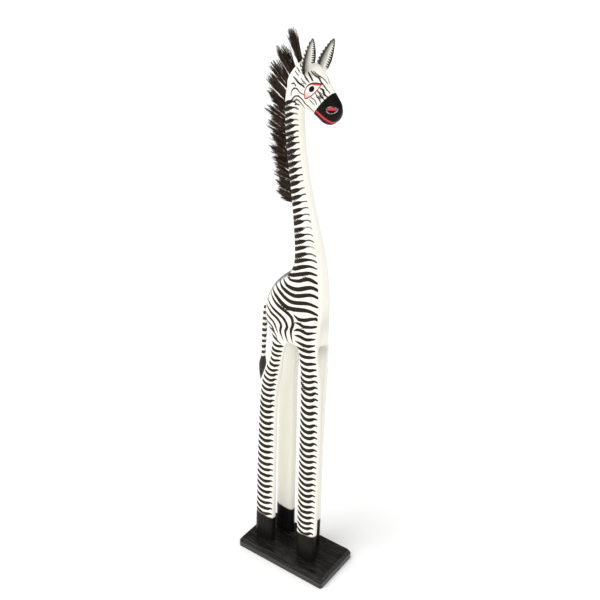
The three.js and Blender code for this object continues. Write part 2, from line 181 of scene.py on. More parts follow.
# Strokes on the head: points (along, across, out) on the head's own line, and half the thickness.
HEAD_STROKES = (
    (1.1, ((-16.6, 8.0, 18.3), (-11.4, 7.8, 19.0), (-4.2, 8.8, 19.5))),
    (1.5, ((-16.1, 15.0, 17.2), (-10.6, 14.4, 18.0), (-3.5, 14.6, 18.5))),
    (1.7, ((-14.8, 21.9, 15.3), (-8.1, 21.0, 16.1), (-0.9, 20.1, 16.6))),
    (1.4, ((-12.7, 26.0, 13.2), (-5.0, 26.0, 13.3), (2.0, 27.3, 11.2), (9.0, 25.9, 11.1),
           (14.3, 25.4, 9.9), (20.4, 24.4, 9.0), (28.2, 23.6, 7.5))),
    (1.1, ((-9.5, 28.3, 11.6), (-3.3, 28.8, 10.6), (2.1, 29.7, 8.1), (8.1, 29.7, 5.4), (15.3, 28.0, 2.4))),
    (1.9, ((-28.0, -1.7, 16.3), (-21.6, -0.5, 17.8), (-14.1, 0.3, 19.1), (-8.7, 2.5, 19.6),
           (-3.9, 3.3, 20.0))),
    (1.5, ((-24.2, -11.9, 16.3), (-21.4, -7.9, 17.5), (-17.2, -6.9, 18.3))),
    (1.0, ((-36.0, 10.6, 12.1), (-30.0, 11.4, 14.6), (-24.5, 11.7, 16.1))),
    (1.0, ((-33.2, 5.1, 14.4), (-28.3, 6.1, 15.9), (-22.4, 6.7, 17.3))),
    (1.0, ((-37.0, 17.5, 8.0), (-30.7, 17.0, 12.7), (-27.0, 17.2, 13.5))),
    (1.4, ((-14.0, -27.1, 15.0), (-17.3, -21.4, 15.4), (-16.9, -15.2, 17.2), (-14.5, -10.8, 18.4),
           (-10.3, -8.3, 19.2), (-4.9, -8.5, 19.7), (2.5, -5.6, 20.2))),
    (1.5, ((-9.3, -29.7, 14.7), (-8.6, -23.3, 15.8), (-3.8, -15.9, 18.6), (2.5, -13.5, 19.1),
           (8.2, -13.4, 18.8), (13.5, -14.7, 17.8), (20.4, -13.8, 16.7), (30.6, -14.2, 14.1))),
    (1.6, ((-5.0, -31.4, 13.9), (-4.1, -25.7, 14.6), (0.2, -21.1, 16.9), (4.8, -20.7, 16.8),
           (9.5, -21.1, 15.8), (13.5, -23.8, 12.9))),
    (1.6, ((-0.4, -32.3, 12.2), (5.5, -27.5, 13.6))),
    (0.9, ((13.6, -3.4, 19.6), (19.9, -3.5, 18.8), (25.0, -3.4, 18.0))),
    (1.0, ((13.7, 1.3, 19.6), (21.2, 2.5, 18.7), (25.1, 1.4, 18.2), (28.3, 0.2, 17.7))),
    (1.3, ((15.8, 10.8, 18.2), (20.5, 9.1, 18.0), (25.2, 8.9, 17.4), (30.3, 6.8, 17.1))),
    (1.5, ((15.4, 15.4, 16.8), (20.1, 15.2, 16.2), (24.2, 13.6, 16.3), (30.5, 13.6, 15.3))),
    (2.0, ((15.8, 20.5, 14.0), (20.4, 20.8, 12.9), (25.2, 18.6, 13.5), (31.1, 18.8, 12.3))),
)

HEAD_STROKE_SCALE = 0.88  # drawn thickness of the strokes on the head
HEAD_DRYNESS = 0.03

SAMPLE_STEP = 0.7  # distance between the points that a stroke is measured at
END_REACH = 0.7  # how far paint may run on beyond the end of a stroke
CLEAR_OF_PAINT = (0.0, 40.0, -4.0)  # a stroke value that never paints
FRONT_FACING = 0.74  # strokes stop where the surface faces this far forward
FAR = 40.0  # a distance that no paint reaches

# Paint on the face, in mm on the head's own line (along, across).
MUZZLE_EDGE = 31.4
EYE_REAR_ARC = ((16.6, 6.9), 17.3)  # centre and radius of the upper lid's arc
EYE_FRONT_ARC = ((-24.3, 10.95), 38.3)  # and of the lower lid's
PUPIL = ((7.2, 11.2), (4.0, 5.0))  # centre and half sizes
NOSTRIL = ((49.5, 10.5), (7.4, 5.2), math.radians(42))  # centre, half sizes, turn
MOUTH = ((32.0, -10.2), (64.0, -4.6), 2.1)  # two points of the lip line, half its thickness


def colour_setting(name, description, default):
    return bpy.props.FloatVectorProperty(
        name=name, description=description, subtype="COLOR", default=default)


class PaintSettings(bpy.types.PropertyGroup):
    """Colours and brushwork of the carving."""

    cream: colour_setting("Cream", "Ground coat", (0.9, 0.885, 0.8))
    stripe: colour_setting("Stripe", "Brushed stripes", (0.013, 0.009, 0.006))
    hoof: colour_setting("Hoof black", "Hooves and muzzle", (0.007, 0.0065, 0.006))
    red: colour_setting("Red", "Lips, nostrils and lids", (0.72, 0.035, 0.06))
    # Colour of the painted shade on chest, neck edge, legs and fork, and of the grey on the rump's ridge.
    shade: colour_setting("Shade", "Sprayed grey shading", (0.19, 0.185, 0.185))
    voxel: bpy.props.FloatProperty(
        name="Mesh size", description="Edge length of the carving's mesh", subtype="DISTANCE",
        unit="LENGTH", default=2.0 * MM)
    hoof_height: bpy.props.FloatProperty(
        name="Hoof height", description="Top of the black on the legs", subtype="DISTANCE",
        unit="LENGTH", default=80 * MM)


class ManeSettings(bpy.types.PropertyGroup):
    """Size and colour of the fibre bunches."""

    bristles: bpy.props.IntProperty(
        name="Bristles", description="Fibres in one bunch", default=430, min=1)
    radius: bpy.props.FloatProperty(
        name="Fibre radius", description="Radius at the root", subtype="DISTANCE", unit="LENGTH",
        default=0.34 * MM)
    dark: colour_setting("Dark fibre", "Most fibres", (0.033, 0.018, 0.011))
    light: colour_setting("Light fibre", "A few fibres", (0.15, 0.095, 0.065))


class PlankSettings(bpy.types.PropertyGroup):
    """Shape and colour of the plank."""

    bevel: bpy.props.FloatProperty(
        name="Edge rounding", description="Rounding of the plank's edges", subtype="DISTANCE",
        unit="LENGTH", default=0.9 * MM)
    stain: colour_setting("Stain", "Colour of the wood", (0.007, 0.0063, 0.006))


class StageSettings(bpy.types.PropertyGroup):
    """Camera and light."""

    azimuth: bpy.props.FloatProperty(
        name="Azimuth", description="Turn of the camera from the animal's right side towards its face",
        subtype="ANGLE", unit="ROTATION", default=math.radians(34.91))
    elevation: bpy.props.FloatProperty(
        name="Elevation", description="How far the camera looks down", subtype="ANGLE",
        unit="ROTATION", default=math.radians(25.715))
    roll: bpy.props.FloatProperty(
        name="Roll", description="Lean of the camera", subtype="ANGLE", unit="ROTATION",
        default=math.radians(1.389))
    distance: bpy.props.FloatProperty(
        name="Distance", description="From the aim point to the camera", subtype="DISTANCE",
        unit="LENGTH", default=1.3588)
    lens: bpy.props.FloatProperty(
        name="Lens", description="Focal length on a 36 mm frame", subtype="DISTANCE_CAMERA",
        unit="CAMERA", default=48.0)


# ---------------------------------------------------------------- mesh helpers


def merged_copy(*names):
    """A bmesh of CAD nodes with the doubled corners of their triangles joined."""
    mesh = bmesh.new()
    for name in names:
        mesh.from_mesh(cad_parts[name].data)
    bmesh.ops.remove_doubles(mesh, verts=mesh.verts, dist=0.005 * MM)
    return mesh


def shade_smooth(data, smooth=True):
    data.polygons.foreach_set("use_smooth", [smooth] * len(data.polygons))


def place(name, mesh, material, smooth=True):
    """Makes a bmesh into an object at the origin that rides on the statue."""
    data = bpy.data.meshes.new(name)
    mesh.to_mesh(data)
    mesh.free()
    made = bpy.data.objects.new(name, data)
    bpy.context.scene.collection.objects.link(made)
    data.materials.append(material)
    shade_smooth(data, smooth)
    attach(made, BODY)
    return made


def apply_modifiers(made):
    """Bakes an object's modifiers into its mesh."""
    shaped = made.evaluated_get(bpy.context.evaluated_depsgraph_get())
    data = bpy.data.meshes.new_from_object(shaped)
    made.modifiers.clear()
    old = made.data
    made.data = data
    bpy.data.meshes.remove(old)


def even_skin(made, voxel):
    """Gives a piece one even, slightly softened mesh."""
    remesh = made.modifiers.new("even_mesh", "REMESH")
    remesh.mode = "VOXEL"
    remesh.voxel_size = voxel
    soften = made.modifiers.new("soften", "SMOOTH")
    soften.iterations = 6
    apply_modifiers(made)


def keep_largest_shell(data):
    """Deletes closed pockets inside a solid."""
    mesh = bmesh.new()
    mesh.from_mesh(data)
    left = set(mesh.verts)
    shells = []
    while left:
        shell = {left.pop()}
        edge = list(shell)
        while edge:
            near = {e.other_vert(v) for v in edge for e in v.link_edges} - shell
            shell |= near
            edge = list(near)
        left -= shell
        shells.append(shell)
    shells.sort(key=len)
    inner = [v for shell in shells[:-1] for v in shell]
    bmesh.ops.delete(mesh, geom=inner, context="VERTS")
    mesh.to_mesh(data)
    mesh.free()


def read_points(data):
    """Vertex places in mm and vertex normals, as arrays."""
    points = np.empty(len(data.vertices) * 3)
    data.vertices.foreach_get("co", points)
    normals = np.empty(len(data.vertices) * 3)
    data.vertices.foreach_get("normal", normals)
    return points.reshape(-1, 3) / MM, normals.reshape(-1, 3)


def write_attribute(data, name, values):
    """Stores one number or one vector for each vertex."""
    values = np.asarray(values, float)
    if values.ndim == 1:
        data.attributes.new(name, "FLOAT", "POINT").data.foreach_set("value", values)
    else:
        data.attributes.new(name, "FLOAT_VECTOR", "POINT").data.foreach_set("vector", values.ravel())


def edges_at(rows, z):
    """Back and front edge of a part at some heights."""
    heights, backs, fronts = np.array(rows, float).T
    return np.interp(z, heights, backs), np.interp(z, heights, fronts)


def head_point(along, across, y):
    """Place of a point given on the head's own line."""
    cos, sin = math.cos(HEAD_DIP), math.sin(HEAD_DIP)
    return (HEAD_CENTRE[0] + along * cos + across * sin, y, HEAD_CENTRE[1] - along * sin + across * cos)


def head_place(points):
    """Places on the head's own line: along, across and out from the middle."""
    cos, sin = math.cos(HEAD_DIP), math.sin(HEAD_DIP)
    x, z = points[:, 0] - HEAD_CENTRE[0], points[:, 2] - HEAD_CENTRE[1]
    return np.stack([x * cos - z * sin, x * sin + z * cos, np.abs(points[:, 1] - CARVING_Y)], axis=1)


def smooth_line(points, step=SAMPLE_STEP):
    """Evenly spaced samples on a smooth curve through points, and how far along each one is."""
    points = np.array(points, float)
    padded = np.vstack([2 * points[0] - points[1], points, 2 * points[-1] - points[-2]])
    pieces = []
    for a, b, c, d in zip(padded, padded[1:], padded[2:], padded[3:]):
        t = np.linspace(0, 1, 12, endpoint=False)[:, None]
        pieces.append(0.5 * (2 * b + (c - a) * t + (2 * a - 5 * b + 4 * c - d) * t**2
                             + (3 * b - a - 3 * c + d) * t**3))
    curve = np.vstack([*pieces, points[-1:]])
    walked = np.concatenate([[0], np.cumsum(np.linalg.norm(np.diff(curve, axis=0), axis=1))])
    count = max(int(walked[-1] / step), 3)
    stops = np.linspace(0, walked[-1], count)
    return np.stack([np.interp(stops, walked, column) for column in curve.T], axis=1), stops


# ---------------------------------------------------------------- node helpers


def add(tree, kind, values=None, **settings):
    """Adds a node, sets it up and joins what feeds it."""
    made = tree.nodes.new(kind)
    for name, value in settings.items():
        setattr(made, name, value)
    for key, value in (values or {}).items():
        if isinstance(value, bpy.types.NodeSocket):
            tree.links.new(value, made.inputs[key])
        else:
            made.inputs[key].default_value = value
    return made


def calc(tree, operation, first, second=None, clamp=False):
    """Output of a Math node."""
    values = {0: first} if second is None else {0: first, 1: second}
    return add(tree, "ShaderNodeMath", values, operation=operation, use_clamp=clamp).outputs[0]


def ramp(tree, value, low, high):
    """0 below low, 1 above high and smooth between."""
    return add(tree, "ShaderNodeMapRange", {"Value": value, "From Min": low, "From Max": high},
               interpolation_type="SMOOTHSTEP").outputs["Result"]


def fade(tree, value, low, high):
    """1 below low, 0 above high and smooth between."""
    return calc(tree, "SUBTRACT", 1.0, ramp(tree, value, low, high))


def blend(tree, share, first, second):
    """Mix of two colours."""
    made = add(tree, "ShaderNodeMix", {0: share}, data_type="RGBA")
    for index, value in ((6, first), (7, second)):
        if isinstance(value, bpy.types.NodeSocket):
            tree.links.new(value, made.inputs[index])
        else:
            made.inputs[index].default_value = (*value, 1)
    return made.outputs[2]


def attribute(tree, name, output="Fac"):
    return add(tree, "ShaderNodeAttribute", attribute_name=name).outputs[output]


def object_place(tree, scale):
    """Object coordinates in millimetres, stretched by a scale for each axis."""
    place_node = add(tree, "ShaderNodeTexCoord").outputs["Object"]
    return add(tree, "ShaderNodeVectorMath", {0: place_node, 1: [s / MM for s in scale]},
               operation="MULTIPLY").outputs[0]


def noise(tree, vector, detail=3.0, roughness=0.6, scale=1.0):
    return add(tree, "ShaderNodeTexNoise",
               {"Vector": vector, "Scale": scale, "Detail": detail, "Roughness": roughness}).outputs[0]


def start_material(name):
    """An empty material with a Principled shader."""
    made = bpy.data.materials.new(name)
    made.use_nodes = True
    tree = made.node_tree
    tree.nodes.clear()
    shader = add(tree, "ShaderNodeBsdfPrincipled")
    add(tree, "ShaderNodeOutputMaterial", {"Surface": shader.outputs[0]})
    return made, tree, shader


def plug(tree, shader, **sockets):
    """Joins sockets to the shader, or sets them."""
    for name, value in sockets.items():
        socket = shader.inputs[name.replace("_", " ").title().replace("Ior", "IOR")]
        if isinstance(value, bpy.types.NodeSocket):
            tree.links.new(value, socket)
        else:
            socket.default_value = value


def bump(tree, shader, height, strength, distance):
    made = add(tree, "ShaderNodeBump", {"Height": height, "Strength": strength, "Distance": distance})
    tree.links.new(made.outputs[0], shader.inputs["Normal"])


def start_group(name, inputs, outputs):
    """A shader node group with named sockets, each given as name: type."""
    group = bpy.data.node_groups.new(name, "ShaderNodeTree")
    for names, direction in ((inputs, "INPUT"), (outputs, "OUTPUT")):
        for socket, kind in names.items():
            group.interface.new_socket(socket, in_out=direction, socket_type=f"NodeSocket{kind}")
    source = group.nodes.new("NodeGroupInput").outputs
    sink = group.nodes.new("NodeGroupOutput").inputs
    return group, source, sink


def use_group(tree, group, values):
    return add(tree, "ShaderNodeGroup", values, node_tree=group).outputs


# ---------------------------------------------------------------- shared effects


def make_brush_group():
    """Paint laid on with a round brush: ragged edges, and streaks where the brush ran dry."""
    group, source, sink = start_group(
        "brushed_paint",
        {"Stroke": "Vector", "Reach": "Float", "Dry": "Float", "Ragged": "Float"},
        {"Mask": "Float", "Streak": "Float"},
    )
    parts = add(group, "ShaderNodeSeparateXYZ", {0: source["Stroke"]}).outputs
    along, offset, half = parts["X"], parts["Y"], parts["Z"]
    inside = calc(group, "SUBTRACT", half, calc(group, "ABSOLUTE", offset))
    inside = calc(group, "MINIMUM", inside, calc(group, "SUBTRACT", END_REACH, source["Reach"]))
    edge_place = add(group, "ShaderNodeVectorMath", {0: source["Stroke"], 1: (0.35, 0.5, 0)},
                     operation="MULTIPLY").outputs[0]
    ragged = calc(group, "SUBTRACT", noise(group, edge_place), 0.5)
    inside = calc(group, "ADD", inside, calc(group, "MULTIPLY", ragged, source["Ragged"]))
    streak_place = add(group, "ShaderNodeVectorMath", {0: source["Stroke"], 1: (0.05, 1.5, 0)},
                       operation="MULTIPLY").outputs[0]
    streak = noise(group, streak_place, detail=4.0)
    lost = calc(group, "MULTIPLY", source["Dry"], 0.75)
    held = ramp(group, streak, calc(group, "SUBTRACT", lost, 0.12), calc(group, "ADD", lost, 0.12))
    painted = ramp(group, inside, -0.22, 0.28)
    group.links.new(calc(group, "MULTIPLY", painted, held), sink["Mask"])
    group.links.new(streak, sink["Streak"])
    return group


def make_wood_group():
    """Long fine grain of sanded wood that shows through paint and lacquer."""
    group, source, sink = start_group(
        "wood_grain", {"Place": "Vector", "Fineness": "Float"}, {"Height": "Float", "Tone": "Float"})
    fine = noise(group, source["Place"], detail=5.0, scale=source["Fineness"])
    coarse = calc(group, "MULTIPLY", source["Fineness"], 0.17)
    broad = noise(group, source["Place"], detail=2.0, scale=coarse)
    group.links.new(fine, sink["Height"])
    group.links.new(calc(group, "MULTIPLY", calc(group, "ADD", fine, broad), 0.5), sink["Tone"])
    return group


def shared_group(name, maker):
    """Builds a node group once."""
    return bpy.data.node_groups.get(name) or maker()


def wood_grain(tree, stretch):
    """Height and tone of the grain, stretched by a scale for each axis."""
    values = {"Place": object_place(tree, stretch), "Fineness": 1.0}
    return use_group(tree, shared_group("wood_grain", make_wood_group), values)


# ---------------------------------------------------------------- strokes measured on the mesh


def blend_guides(guides, place_in_row):
    """Points between two guides of a row of strokes."""
    places = [place for place, _ in guides]
    shapes = np.array([shape for _, shape in guides], float)
    flat = shapes.reshape(len(places), -1)
    mixed = [np.interp(place_in_row, places, column) for column in flat.T]
    return np.array(mixed).reshape(shapes.shape[1:])


def back_strokes(rng):
    """Strokes of neck, back and haunch as (points, half widths, dryness)."""
    strokes = []
    for place_in_row in range(BACK_GUIDES[-1][0] + 1):
        points = blend_guides(BACK_GUIDES, place_in_row)
        widths = blend_guides(BACK_HALF_WIDTHS, place_in_row)
        points[:, 1] += rng.uniform(-0.5, 0.5)
        points[1:, 1] += rng.uniform(-0.6, 0.6, len(points) - 1)
        on_haunch = min(max((place_in_row - HAUNCH_PLACE + 3) / 3, 0), 1)
        dry = (1 - on_haunch) * np.array(NECK_DRYNESS) + on_haunch * np.array(HAUNCH_DRYNESS)
        strokes.append((points, widths * rng.uniform(0.93, 1.07), dry * rng.uniform(0.8, 1.15)))
    return strokes


def fork_strokes(rng):
    """Strokes round the fork of the legs."""
    return [(np.array(line, float), np.array(FORK_HALF_WIDTHS) * thickness * rng.uniform(0.95, 1.05),
             np.array(HAUNCH_DRYNESS)) for line, thickness in zip(FORK_STROKES, FORK_THICKNESS)]


def leg_strokes(rng, leg, side, hoof_z):
    """Strokes down the outside of one leg."""
    strokes = []
    shares, rises = np.array(LEG_STROKE[leg]).T
    heights, gaps = np.array(LEG_STROKE_GAPS[leg]).T
    z = LEG_TOP_STROKE_Z[leg]
    while z > hoof_z + 4:
        back, front = edges_at(LEG_EDGES[leg, side], z)
        curl = min(max((500 - z) / 90, 0.25), 1)
        tilt = (1 - curl) * (-7.0 if leg == "hind" else 5.0)
        calm = np.where(shares > 0.8, 0.4 + 0.6 * curl, 1.0)
        line = z + rises * curl * calm + tilt * (shares - 0.5) + rng.uniform(-0.6, 0.6, len(shares))
        points = np.stack([back + (front - back) * shares, line], axis=1)
        gap = float(np.interp(z, heights, gaps))
        widths = np.array(LEG_HALF_WIDTHS) * gap / 12 * rng.uniform(0.94, 1.06)
        strokes.append((points, widths, np.array(HAUNCH_DRYNESS) * rng.uniform(0.5, 1.0)))
        z -= gap + rng.uniform(-0.5, 0.5)
    return strokes


def head_strokes(side):
    """Strokes of one side of the face."""
    strokes = []
    for half, line in HEAD_STROKES:
        points = np.array([head_point(a, c, CARVING_Y + side * out) for a, c, out in line])
        share = np.linspace(0, 1, 9)
        widths = HEAD_STROKE_SCALE * half * (0.5 + 0.5 * np.sin(share * math.pi * 0.8 + 0.3))
        strokes.append((points, widths, np.full(len(share), HEAD_DRYNESS)))
    return strokes


def sample_strokes(strokes):
    """Samples of all strokes: place, direction, distance along, half width and dryness."""
    samples = []
    for number, (points, widths, dry) in enumerate(strokes):
        curve, stops = smooth_line(points)
        knots = np.linspace(0, stops[-1], len(widths))
        heading = np.gradient(curve, axis=0)
        heading /= np.linalg.norm(heading, axis=1)[:, None]
        samples.append(np.column_stack([
            curve, heading, stops + 90 * number, np.interp(stops, knots, widths),
            np.interp(stops, knots, dry)]))
    return np.vstack(samples)


def nearest_stroke(points, normals, samples):
    """For each point: stroke value (along, offset, half width), reach beyond the paint, dryness."""
    tree = kdtree.KDTree(len(samples))
    for number, sample in enumerate(samples):
        tree.insert(sample[:3], number)
    tree.balance()
    found = np.array([tree.find(point)[1:] for point in points])
    near = samples[found[:, 0].astype(int)]
    away = points - near[:, :3]
    sideways = np.cross(near[:, 3:6], normals)
    sideways /= np.maximum(np.linalg.norm(sideways, axis=1), 1e-6)[:, None]
    offset = (away * sideways).sum(axis=1)
    along = near[:, 6] + (away * near[:, 3:6]).sum(axis=1)
    stroke = np.column_stack([along, offset, near[:, 7]])
    return stroke, found[:, 1] - near[:, 7], near[:, 8]


def body_stroke_values(points, hoof_z):
    """Nearest stroke over neck, trunk and legs, measured in the side view of each side."""
    rng = np.random.default_rng(SEED)
    stroke = np.tile(CLEAR_OF_PAINT, (len(points), 1))
    reach = np.full(len(points), FAR)
    dry = np.zeros(len(points))
    for side in (-1, 1):
        on_side = np.where((points[:, 1] - CARVING_Y) * side > 0)[0]
        strokes = back_strokes(rng) + fork_strokes(rng)
        for leg in ("hind", "front"):
            strokes += leg_strokes(rng, leg, side, hoof_z)
        flat = [(np.column_stack([line[:, 0], np.zeros(len(line)), line[:, 1]]), widths, dryness)
                for line, widths, dryness in strokes]
        seen = points[on_side] * (1, 0, 1)
        outward = np.tile((0.0, side, 0.0), (len(on_side), 1))
        stroke[on_side], reach[on_side], dry[on_side] = nearest_stroke(seen, outward, sample_strokes(flat))
    return stroke, reach, dry


def stroke_values(points, normals, hoof_z):
    """Nearest stroke anywhere on the carving, with the plain faces left clear."""
    stroke, reach, dry = body_stroke_values(points, hoof_z)
    outward = normals[:, 1] * np.sign(points[:, 1] - CARVING_Y)
    inner_leg = (points[:, 2] < LEG_TOP_Z + 8) & (outward < 0.1)
    stroke[inner_leg] = CLEAR_OF_PAINT
    reach[inner_leg] = FAR
    reach += FAR * np.clip(normals[:, 0] - FRONT_FACING, 0, 1)
    on_head = np.where(points[:, 2] > 850)[0]
    samples = sample_strokes(head_strokes(-1) + head_strokes(1))
    face, face_reach, face_dry = nearest_stroke(points[on_head], normals[on_head], samples)
    nearer = (face_reach < reach[on_head]) | (points[on_head, 0] > 2) | (points[on_head, 2] > 898)
    chosen = on_head[nearer]
    stroke[chosen], reach[chosen], dry[chosen] = face[nearer], face_reach[nearer], face_dry[nearer]
    return stroke, reach, dry


# ---------------------------------------------------------------- the painted carving


def eye_distance(place_on_head):
    """Distance outside the eye's outline, below zero inside it."""
    flat = place_on_head[:, :2]
    return np.max([np.linalg.norm(flat - centre, axis=1) - radius
                   for centre, radius in (EYE_REAR_ARC, EYE_FRONT_ARC)], axis=0)


def mouth_distance(place_on_head):
    """Distance above the middle of the lip line, below zero under it."""
    (a0, c0), (a1, c1), _ = MOUTH
    slope = (c1 - c0) / (a1 - a0)
    return place_on_head[:, 1] - c0 - slope * (place_on_head[:, 0] - a0)


def carve_face(data):
    """Raises the eyeballs and lids and cuts the mouth and nostrils into the mesh."""
    points, normals = read_points(data)
    on_head = head_mask(points)
    where = head_place(points)
    eye = eye_distance(where)
    lift = 0.9 * np.clip(-eye / 4, 0, 1) - 0.6 * np.exp(-((eye / 1.4) ** 2))
    mouth = mouth_distance(where)
    on_muzzle = np.clip((where[:, 0] - MUZZLE_EDGE) / 4, 0, 1)
    lift -= on_muzzle * 1.5 * np.exp(-(((mouth + 0.4) / 1.5) ** 2))
    (na, nc), (long, short), turn = NOSTRIL
    da, dc = where[:, 0] - na, where[:, 1] - nc
    u = (da * math.cos(turn) + dc * math.sin(turn)) / long
    v = (dc * math.cos(turn) - da * math.sin(turn)) / short
    lift -= 1.4 * np.clip(1.1 - np.hypot(u, v), 0, 0.6) / 0.6
    lift[~on_head] = 0
    moved = (points + normals * lift[:, None]) * MM
    data.vertices.foreach_set("co", moved.ravel())
    data.update()


def fill_rump(data):
    """Rounds the rump out along its ridge."""
    points, normals = read_points(data)
    near = np.exp(-(((points[:, 2] - RUMP_HEIGHT) / RUMP_REACH) ** 2))
    lift = RUMP_FULLNESS * near * np.clip(normals[:, 2] - normals[:, 0], 0, 1)
    points[:, 0] -= lift * 0.6
    points[:, 2] += lift * 0.8
    data.vertices.foreach_set("co", (points * MM).ravel())
    data.update()


def blend_fork(data):
    """Rounds the step between trunk and legs, and hollows the chest between the front legs."""
    mesh = bmesh.new()
    mesh.from_mesh(data)
    low, high = (z * MM for z in FORK_HEIGHTS)
    near = [vert for vert in mesh.verts if low < vert.co.z < high]
    for vert in near:
        lowered = min((high - vert.co.z) / (45 * MM), 1)
        central = math.exp(-(((vert.co.y / MM - CARVING_Y) / 8) ** 2))
        vert.co.x -= CHEST_HOLLOW * MM * lowered * central * max(vert.normal.x, 0)
    for _ in range(FORK_SMOOTHING):
        bmesh.ops.smooth_vert(mesh, verts=near, factor=0.5, use_axis_x=True, use_axis_y=True,
                              use_axis_z=True)
    mesh.to_mesh(data)
    mesh.free()


def head_mask(points):
    x, z = points[:, 0], points[:, 2]
    return (z > NECK_JOINT_Z) | ((z > 840) & (x > 6))


def ridge_grey_and_painted_shade(points, normals):
    """Soft grey along the rump's ridge, and painted shade on the chest's front, at the neck's front-left
    edge, on the corners of the legs and round the fork under the belly.
    """
    z = points[:, 2]
    outward = normals[:, 1] * np.sign(points[:, 1] - CARVING_Y)
    rump = np.clip((z - 500) / 30, 0, 1) * np.clip((628 - z) / 20, 0, 1)
    ridge = np.clip((0.85 - outward) / 0.35, 0, 1)
    shade = ridge * rump * np.clip(normals[:, 2] - normals[:, 0], 0, 1)
    # Painted shade: the chest where it faces straight forward, the neck's front-left edge, the front and
    # inner corners of the legs, and under the belly between the legs.
    under_chest = np.clip((z - 480) / 40, 0, 1) * np.clip((560 - z) / 30, 0, 1)
    shade += 0.2 * under_chest * np.clip((normals[:, 0] - 0.93) / 0.07, 0, 1)
    neck = np.clip((z - 560) / 40, 0, 1) * (z < 880)
    shade += 0.5 * neck * np.clip((normals[:, 1] - 0.38) / 0.2, 0, 1) * np.clip(normals[:, 0] * 2, 0, 1)
    legs = z < LEG_TOP_Z
    corner = np.exp(-(((np.abs(normals[:, 0]) - 0.75) / 0.25) ** 2))
    shade += np.where(legs & (outward < 0.3), 0.16 * corner, 0)
    shade += 0.3 * np.exp(-(((z - 468) / 14) ** 2)) * np.clip(0.2 - outward, 0, 1)
    return np.clip(shade, 0, 1)


def hoof_value(points, hoof_z):
    """Height above the hoof's painted edge, which drops towards the toe."""
    value = points[:, 2] - hoof_z
    for (leg, side), rows in LEG_EDGES.items():
        back, front = edges_at(rows, points[:, 2])
        share = (points[:, 0] - back) / (front - back)
        here = ((points[:, 1] - CARVING_Y) * side > 0) & (share > -0.2) & (share < 1.2)
        fall = -4.0 if leg == "hind" else 5.0
        value = np.where(here, points[:, 2] - hoof_z - fall * (share - 0.4), value)
    return value


def paint_attributes(data, hoof_z):
    """Writes everything that the paint material reads onto the carving's mesh."""
    points, normals = read_points(data)
    stroke, reach, dry = stroke_values(points, normals, hoof_z)
    where = head_place(points)
    where[~head_mask(points)] = (-60, 0, 0)
    write_attribute(data, "stroke", stroke)
    write_attribute(data, "reach", reach)
    write_attribute(data, "dry", dry)
    # The shade attribute holds painted shade, and the grey on the rump's ridge.
    write_attribute(data, "shade", ridge_grey_and_painted_shade(points, normals))
    write_attribute(data, "above_hoof", hoof_value(points, hoof_z))
    write_attribute(data, "on_head", where)


def circle_distance(tree, place_node, centre, radius):
    """Distance outside a circle on the head's side."""
    away = add(tree, "ShaderNodeVectorMath", {0: place_node, 1: (*centre, 0)}, operation="DISTANCE")
    return calc(tree, "SUBTRACT", away.outputs["Value"], radius)


def oval_size(tree, place_node, centre, half_sizes, turn=0.0):
    """1 on the outline of an oval on the head's side, below it inside; and its own upright place."""
    moved = add(tree, "ShaderNodeMapping", {
        "Vector": place_node, "Location": (*centre, 0), "Rotation": (0, 0, turn),
        "Scale": (*half_sizes, 1)}, vector_type="TEXTURE").outputs[0]
    size = add(tree, "ShaderNodeVectorMath", {0: moved}, operation="LENGTH").outputs["Value"]
    return size, add(tree, "ShaderNodeSeparateXYZ", {0: moved}).outputs["Y"]


